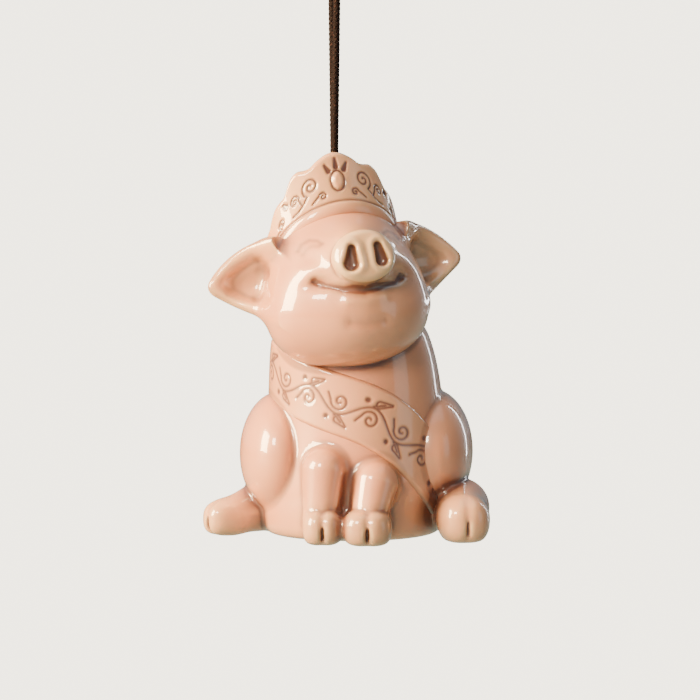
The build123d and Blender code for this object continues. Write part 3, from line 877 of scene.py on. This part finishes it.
def braid_tree(finish):
    """Geometry nodes that turn a route into a tube of over-and-under yarns."""
    nodes = bpy.data.node_groups.new("Braided cord", "GeometryNodeTree")
    tree = Tree(nodes)
    interface = nodes.interface
    interface.new_socket("Route", in_out="INPUT", socket_type="NodeSocketGeometry")
    sizes = {}
    for label, value in (
        ("Cord radius", 0.0007), ("Yarn relief", 0.00013), ("Yarn pitch", 0.0011),
        ("Step", 0.0001), ("Start", 0.0),
    ):
        socket = interface.new_socket(label, in_out="INPUT", socket_type="NodeSocketFloat")
        socket.default_value = value
        sizes[label] = socket
    interface.new_socket("Cord", in_out="OUTPUT", socket_type="NodeSocketGeometry")
    entry = nodes.nodes.new("NodeGroupInput")
    given = {socket.name: Wire(tree, socket) for socket in entry.outputs if socket.name}

    def stored(geometry, name, value):
        settings = {"data_type": "FLOAT", "domain": "POINT"}
        values = {"Geometry": geometry, "Name": name, "Value": value}
        return tree.node("GeometryNodeStoreNamedAttribute", settings, values, "Geometry")

    line = tree.node("GeometryNodeResampleCurve", {"mode": "LENGTH"}, {
        "Curve": given["Route"], "Length": given["Step"],
    })
    run = tree.node("GeometryNodeSplineParameter", {}, {}, "Length")
    line = stored(line, "run", run + given["Start"])
    ring = tree.node("GeometryNodeCurvePrimitiveCircle", {"mode": "RADIUS"}, {
        "Resolution": 48, "Radius": given["Cord radius"],
    })
    ring = stored(ring, "round", tree.node("GeometryNodeSplineParameter", {}, {}, "Factor"))
    tube = tree.node("GeometryNodeCurveToMesh", {}, {
        "Curve": line, "Profile Curve": ring, "Fill Caps": True,
    })
    along, around = (
        tree.node("GeometryNodeInputNamedAttribute", {"data_type": "FLOAT"}, {"Name": name})
        for name in ("run", "round")
    )
    climb = along / given["Yarn pitch"]
    first, second = around * 4.0 + climb, around * 4.0 - climb + 400.0
    over = ((first.math("FLOOR") + second.math("FLOOR")) % 2.0).math("ROUND")
    across_first = (first % 1.0) * 2.0 - 1.0
    across_second = (second % 1.0) * 2.0 - 1.0
    across = across_first * over + across_second * (1.0 - over)
    down = across_second * over + across_first * (1.0 - over)
    ridge = (1.0 - across * across * 0.95).math("SQRT") * (1.0 - down * down * 0.3)
    tube = stored(tube, "ridge", ridge)
    tube = stored(tube, "fibre", across)
    lift = (ridge - 0.5) * given["Yarn relief"]
    normal = tree.node("GeometryNodeInputNormal", {}, {})
    push = tree.node("ShaderNodeVectorMath", {"operation": "SCALE"}, {0: normal, "Scale": lift})
    tube = tree.node("GeometryNodeSetPosition", {}, {"Geometry": tube, "Offset": push})
    tube = tree.node("GeometryNodeRealizeInstances", {}, {"Geometry": tube})
    tube = tree.node("GeometryNodeSetMaterial", {}, {"Geometry": tube, "Material": finish})
    leave = nodes.nodes.new("NodeGroupOutput")
    nodes.links.new(tube.socket, leave.inputs[0])
    return nodes, {label: socket.identifier for label, socket in sizes.items()}


def braided(name, routes):
    """One braided mesh along routes: each its points, if it is a round, and where it starts."""
    settings = bpy.context.scene.pig_cord
    # The cord's material paints shade between its yarns
    finish = bpy.data.materials.get("Braided cord") or braided_fibre_with_painted_shade(
        "Braided cord", (*settings.dark, 1), (*settings.light, 1)
    )
    nodes, sockets = braid_tree(finish)
    parts = []
    for points, cyclic, start in routes:
        route = route_curve(name + "_route", points, cyclic)
        modifier = route.modifiers.new("Braid", "NODES")
        modifier.node_group = nodes
        modifier[sockets["Cord radius"]] = settings.diameter / 2 * 0.9
        modifier[sockets["Yarn relief"]] = settings.relief
        modifier[sockets["Yarn pitch"]] = settings.pitch
        modifier[sockets["Step"]] = settings.pitch / 11
        modifier[sockets["Start"]] = start
        parts.append(evaluated_mesh(route))
        bpy.data.objects.remove(route)
    piece = linked(name, parts[0])
    others = [linked(name + "_part", part) for part in parts[1:]]
    if others:
        with bpy.context.temp_override(
            active_object=piece, selected_editable_objects=[piece] + others
        ):
            bpy.ops.object.join()
    piece.data.polygons.foreach_set("use_smooth", [True] * len(piece.data.polygons))
    return piece


# ---- settings that a user would change


def tint(name, description, shade):
    """A colour that a user can change."""
    return bpy.props.FloatVectorProperty(
        name=name, description=description, subtype="COLOR", default=shade, min=0, max=1,
    )


def number(name, description, value, unit="NONE", least=0.0):
    """A number that a user can change."""
    return bpy.props.FloatProperty(
        name=name, description=description, default=value, unit=unit, min=least,
    )


class PigClay(bpy.types.PropertyGroup):
    """Fineness of the modelled clay, and the colours of its glaze."""

    head_step: number("Head step", "Spacing of the head's points, in mm", 0.30, least=0.15)
    body_step: number("Body step", "Spacing of the body's points, in mm", 0.40, least=0.15)
    sash_width: number("Sash width", "Width of the sash across its run, in mm", 13.3)
    sash_proud: number("Sash relief", "How far the sash stands out of the body, in mm", 0.9)
    clay: tint("Clay", "Peach pink under the glaze", (0.78, 0.29, 0.15))
    pale: tint("Thin glaze", "Cream where the glaze runs thin", (0.92, 0.56, 0.28))
    # The pooled glaze colour is also the painted shade in creases and under overhangs
    pooled_glaze_and_shade: tint("Pooled glaze", "Red brown where it gathers in creases", (0.16, 0.052, 0.034))
    ink: tint("Incised lines", "Brown rubbed into the incised ornament", (0.13, 0.04, 0.025))


class PigCord(bpy.types.PropertyGroup):
    """The braided cord."""

    diameter: number("Diameter", "Thickness of the cord", 0.0016, "LENGTH")
    relief: number("Relief", "How far the yarns bulge", 0.00022, "LENGTH")
    pitch: number("Pitch", "Spacing of the yarns along the cord", 0.0011, "LENGTH", 0.0001)
    # Dark and Light are painted shade: the cord's colour runs from Dark between its yarns to Light
    # over their tops
    dark: tint("Dark", "Colour between the yarns", (0.004, 0.0016, 0.0014))
    light: tint("Light", "Colour on top of the yarns", (0.013, 0.0040, 0.0030))


class PigStage(bpy.types.PropertyGroup):
    """Floor, light and camera."""

    backdrop: tint("Backdrop", "Colour of the plain backdrop", (1.0, 0.92, 0.76))
    brightness: number("Brightness", "How brightly the backdrop glows", 4.3)
    key_power: number("Key light", "Power of the window-like light", 38.0, "POWER")
    spark_power: number("Spark light", "Power of the small square light", 6.0, "POWER")
    fill_power: number("Fill light", "Power of the light from above", 1.5, "POWER")
    rim_power: number("Rim light", "Power of the strip behind, at the right", 1.2, "POWER")
    panel_power: number("Side panel", "Power of the dim panel at the right", 0.5, "POWER")


# ---- clay pieces

# The way in for the cord in the crown, the casting hole in the base, and the room inside each
BORE_RADIUS, BORE_FOOT, CROWN_ROOM = 2.3, 58.0, ((0, 0, 63.5), (5, 5, 5))
HOLE_RADIUS, HOLE_TOP, BASE_ROOM = 4.0, 8.0, ((*BODY_AT, 12.0), (9, 9, 9))
OPENING_EDGE = 0.8

# Corners of the boxes in which the head and the body are meshed
HEAD_SPAN, BODY_SPAN = ((-31, -31, 34), (34, 16, 76)), ((-31, -28, -1), (36, 31, 51))


def opened(clay, way_in, room):
    """Clay with a way in and a room pressed out of it."""
    return cut(cut(clay, way_in, OPENING_EDGE), room, OPENING_EDGE)


def glazed(name, points, faces, ink=None, open_ends=None):
    """A piece of clay with its glaze, and with its incised ornament coloured if it has any."""
    piece = make_mesh(name, in_frame(points), faces)
    if open_ends:
        close_ends(piece, *open_ends)
    # Pooled glaze and painted shade in creases, and thinner glaze over edges
    paint_glaze_and_shade(piece, points)
    if ink is not None:
        paint(piece, "ink", ink.ravel())
    s = bpy.context.scene.pig_clay
    shades = [(*shade, 1) for shade in (s.clay, s.pale, s.pooled_glaze_and_shade, s.ink)]
    finish = glaze(name.replace("_", " ").capitalize(), *shades, ink is not None)
    piece.data.materials.append(finish)
    return piece


# ---- operators


class PIG_OT_head(bpy.types.Operator):
    """Model the head with its snout, mouth, closed eyes and ears"""

    bl_idname = "pig.head"
    bl_label = "Head"

    def execute(self, context):
        def field(p):
            bore = np.maximum(np.hypot(p[0], p[1]) - BORE_RADIUS, BORE_FOOT - p[2])
            return opened(head_clay(p), bore, egg(p, *CROWN_ROOM))

        points, quads = skin(field, *HEAD_SPAN, context.scene.pig_clay.head_step)
        head = glazed("glazed_head", points, quads)
        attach(head, "figure")
        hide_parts("head", "snout", "left_ear", "right_ear")
        return {"FINISHED"}


class PIG_OT_body(bpy.types.Operator):
    """Model the body with its haunches, legs, trotters and tail"""

    bl_idname = "pig.body"
    bl_label = "Body"

    def execute(self, context):
        def field(p):
            away = np.hypot(p[0] - BODY_AT[0], p[1] - BODY_AT[1])
            hole = np.maximum(away - HOLE_RADIUS, p[2] - HOLE_TOP)
            return opened(body_clay(p), hole, egg(p, *BASE_ROOM))

        points, quads = skin(field, *BODY_SPAN, context.scene.pig_clay.body_step)
        body = glazed("glazed_body", points, quads)
        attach(body, "figure")
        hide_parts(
            "torso", "left_haunch", "right_haunch", "left_hind_foot", "right_hind_foot",
            "left_foreleg", "right_foreleg", "left_fore_trotter", "right_fore_trotter", "tail",
        )
        return {"FINISHED"}


class PIG_OT_tiara(bpy.types.Operator):
    """Model the scalloped tiara with its band and incised scrolls"""

    bl_idname = "pig.tiara"
    bl_label = "Tiara"

    def execute(self, context):
        rings, ink = tiara_points()
        points = rings.reshape(-1, 3) @ HEAD_TURN.T + HEAD_AT
        tiara = glazed("glazed_tiara", points, loft(rings), ink, rings.shape[:2])
        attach(tiara, "figure")
        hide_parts("tiara", "tiara_band")
        return {"FINISHED"}


class PIG_OT_sash(bpy.types.Operator):
    """Model the raised sash with its incised vine"""

    bl_idname = "pig.sash"
    bl_label = "Sash"

    def execute(self, context):
        settings = context.scene.pig_clay
        rings, ink = sash_points(settings.sash_width, settings.sash_proud)
        sash = glazed("glazed_sash", rings.reshape(-1, 3), loft(rings, True), ink)
        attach(sash, "figure")
        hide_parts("sash")
        return {"FINISHED"}


def close_ends(piece, count, size):
    """Flat faces over the two open ends of a loft, and all faces turned outwards."""
    mesh = bmesh.new()
    mesh.from_mesh(piece.data)
    mesh.verts.ensure_lookup_table()
    mesh.faces.new([mesh.verts[i] for i in range(size)])
    mesh.faces.new([mesh.verts[(count - 1) * size + i] for i in range(size)])
    bmesh.ops.recalc_face_normals(mesh, faces=mesh.faces)
    mesh.to_mesh(piece.data)
    mesh.free()


class PIG_OT_cord(bpy.types.Operator):
    """Braid the cord's loop, and its ends that are knotted inside the head"""

    bl_idname = "pig.cord"
    bl_label = "Cord"

    def execute(self, context):
        points = cord_points()
        route = route_curve("cord_line", points)
        path = [tuple(v.co) for v in evaluated_mesh(route).vertices]
        bpy.data.objects.remove(route)
        length = sum((Vector(b) - Vector(a)).length for a, b in zip(path, path[1:]))
        loop = braided("cord_loop", [(points, False, 0.0)])
        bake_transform(loop)
        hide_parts("cord_bight", "cord_strands")
        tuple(points[0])
        heights = (KNOT_TOP, -0.0520, -0.0490, CORD_LOW)
        front = [(0, -STRAND_BESIDE, z) for z in heights]
        back = [(0, STRAND_BESIDE, z) for z in reversed(heights)]
        ends = braided("cord_ends", [
            (front, False, KNOT_TOP - CORD_LOW), (back, False, length), (knot_points(), True, 0.0),
        ])
        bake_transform(ends)
        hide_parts("cord_tail", "cord_knot")
        return {"FINISHED"}


# Lamps: name, place, size, the setting that holds the power, and colour
LAMPS = (
    ("key_light", (-0.72, -0.24, 0.19), (0.36, 0.46), "key_power", (1, 0.76, 0.42)),
    ("spark_light", (-0.37, -0.62, 0.31), (0.19, 0.19), "spark_power", (1, 0.84, 0.62)),
    ("top_light", (0.10, 0.05, 0.75), (0.8, 0.8), "fill_power", (0.7, 0.92, 1)),
    ("rim_light", (0.46, 0.46, 0.02), (0.03, 0.7), "rim_power", (1, 1, 1)),
    ("side_panel", (0.68, -0.36, 0.0), (0.30, 0.6), "panel_power", (0.9, 1, 1)),
)
LAMPS_AIM = (0.003, -0.012, -0.08)
FLOOR_DROP, FLOOR_HALF, FLOOR_COLOUR = 0.06, 4, (0.17, 0.23, 0.24, 1)
ROOM_LEFT, ROOM_RIGHT = (0.52, 0.57, 0.58, 1), (0.06, 0.12, 0.16, 1)

# The camera looks down by a few degrees; its lens is set by the photograph's pixels per mm
CAMERA_TILT, CAMERA_AWAY, CAMERA_AIM = 4, 0.8, (0.0034, -0.012, BASE + 0.0417)
IMAGE_PIXELS, PIXELS_PER_MM, NEAREST_MM, SENSOR = 700, 4.7, 8, 36


def softbox(name, place, size, watts, colour):
    """An oblong area light that faces the model."""
    data = bpy.data.lights.new(name, "AREA")
    data.shape, data.size, data.size_y = "RECTANGLE", size[0], size[1]
    data.energy, data.color = watts, colour
    lamp = linked(name, data)
    lamp.location = place
    lamp.rotation_euler = (Vector(LAMPS_AIM) - Vector(place)).to_track_quat("-Z", "Y").to_euler()


def add_floor(backdrop, brightness):
    """A floor that the camera sees as the backdrop, and that the glaze mirrors as dull ground."""
    corners = ((-1, -1), (1, -1), (1, 1), (-1, 1))
    corners = [(FLOOR_HALF * x, FLOOR_HALF * y, BASE - FLOOR_DROP) for x, y in corners]
    floor = make_mesh("stage_floor", corners, [(0, 1, 2, 3)])

    def plain(tree):
        dull = {"Base Color": FLOOR_COLOUR, "Roughness": 0.8}
        matt = tree.node("ShaderNodeBsdfPrincipled", {}, dull)
        glow = tree.node("ShaderNodeEmission", {}, {"Color": backdrop, "Strength": brightness})
        seen = tree.node("ShaderNodeLightPath", {}, {}, "Is Camera Ray")
        return tree.node("ShaderNodeMixShader", {}, {0: seen, 1: matt, 2: glow})

    floor.data.materials.append(material("Stage floor", plain))


def add_world(backdrop, brightness):
    """A world that the camera sees as the backdrop, and that lights the model as a dim room."""

    def room(tree):
        seen = tree.node("ShaderNodeLightPath", {}, {}, "Is Camera Ray")
        place = tree.node("ShaderNodeTexCoord", {}, {}, "Generated")
        split = tree.node("ShaderNodeSeparateXYZ", {}, {0: place}, "X")
        shade = tree.mix((split * 0.75 + 0.5).clipped(), ROOM_LEFT, ROOM_RIGHT)
        shade = tree.mix(seen, shade, tuple(c * brightness for c in backdrop[:3]) + (1,))
        return tree.node("ShaderNodeBackground", {}, {"Color": shade, "Strength": 1.0})

    world = shaded(bpy.data.worlds.new("Studio"), "ShaderNodeOutputWorld", room)
    bpy.context.scene.world = world


def add_camera():
    """A camera placed as the photograph's was."""
    lens = bpy.data.cameras.new("camera")
    lens.sensor_fit, lens.sensor_width = "HORIZONTAL", SENSOR
    lens.lens = SENSOR * (CAMERA_AWAY / MM - NEAREST_MM) / (IMAGE_PIXELS / PIXELS_PER_MM)
    lens.clip_start, lens.clip_end = 0.01, 20
    camera = linked("camera", lens)
    tilt = radians(CAMERA_TILT)
    back = Vector((0, -cos(tilt), sin(tilt)))
    camera.location = Vector(CAMERA_AIM) + back * CAMERA_AWAY
    camera.rotation_euler = (-back).to_track_quat("-Z", "Y").to_euler()
    bpy.context.scene.camera = camera


class PIG_OT_stage(bpy.types.Operator):
    """Set the plain pale floor, the soft lights and the camera"""

    bl_idname = "pig.stage"
    bl_label = "Stage"

    def execute(self, context):
        s = context.scene.pig_stage
        backdrop = (*s.backdrop, 1)
        add_floor(backdrop, s.brightness)
        add_world(backdrop, s.brightness)
        for name, place, size, setting, colour in LAMPS:
            softbox(name, place, size, getattr(s, setting), colour)
        add_camera()
        return {"FINISHED"}


class PIG_PT_panel(bpy.types.Panel):
    """Lists the steps that build the ornament"""

    bl_label = "Pig ornament"
    bl_idname = "PIG_PT_panel"
    bl_space_type = "VIEW_3D"
    bl_region_type = "UI"
    bl_category = "Pig ornament"

    def draw(self, context):
        for group in (context.scene.pig_clay, context.scene.pig_cord, context.scene.pig_stage):
            for name in group.bl_rna.properties.keys()[1:]:
                self.layout.prop(group, name)
        for step in STEPS:
            self.layout.operator(step.bl_idname)


STEPS = (PIG_OT_stage, PIG_OT_cord, PIG_OT_head, PIG_OT_body, PIG_OT_tiara, PIG_OT_sash)
GROUPS = {"pig_clay": PigClay, "pig_cord": PigCord, "pig_stage": PigStage}


def register():
    for kind in (*GROUPS.values(), *STEPS, PIG_PT_panel):
        bpy.utils.register_class(kind)
    for name, kind in GROUPS.items():
        setattr(bpy.types.Scene, name, bpy.props.PointerProperty(type=kind))


def unregister():
    for name in GROUPS:
        delattr(bpy.types.Scene, name)
    for kind in reversed((*GROUPS.values(), *STEPS, PIG_PT_panel)):
        bpy.utils.unregister_class(kind)


def main():
    register()
    for step in STEPS:
        area, name = step.bl_idname.split(".")
        if getattr(getattr(bpy.ops, area), name)() != {"FINISHED"}:
            raise RuntimeError(step.bl_label + " wasn't made")


if __name__ == "__main__":
    main()
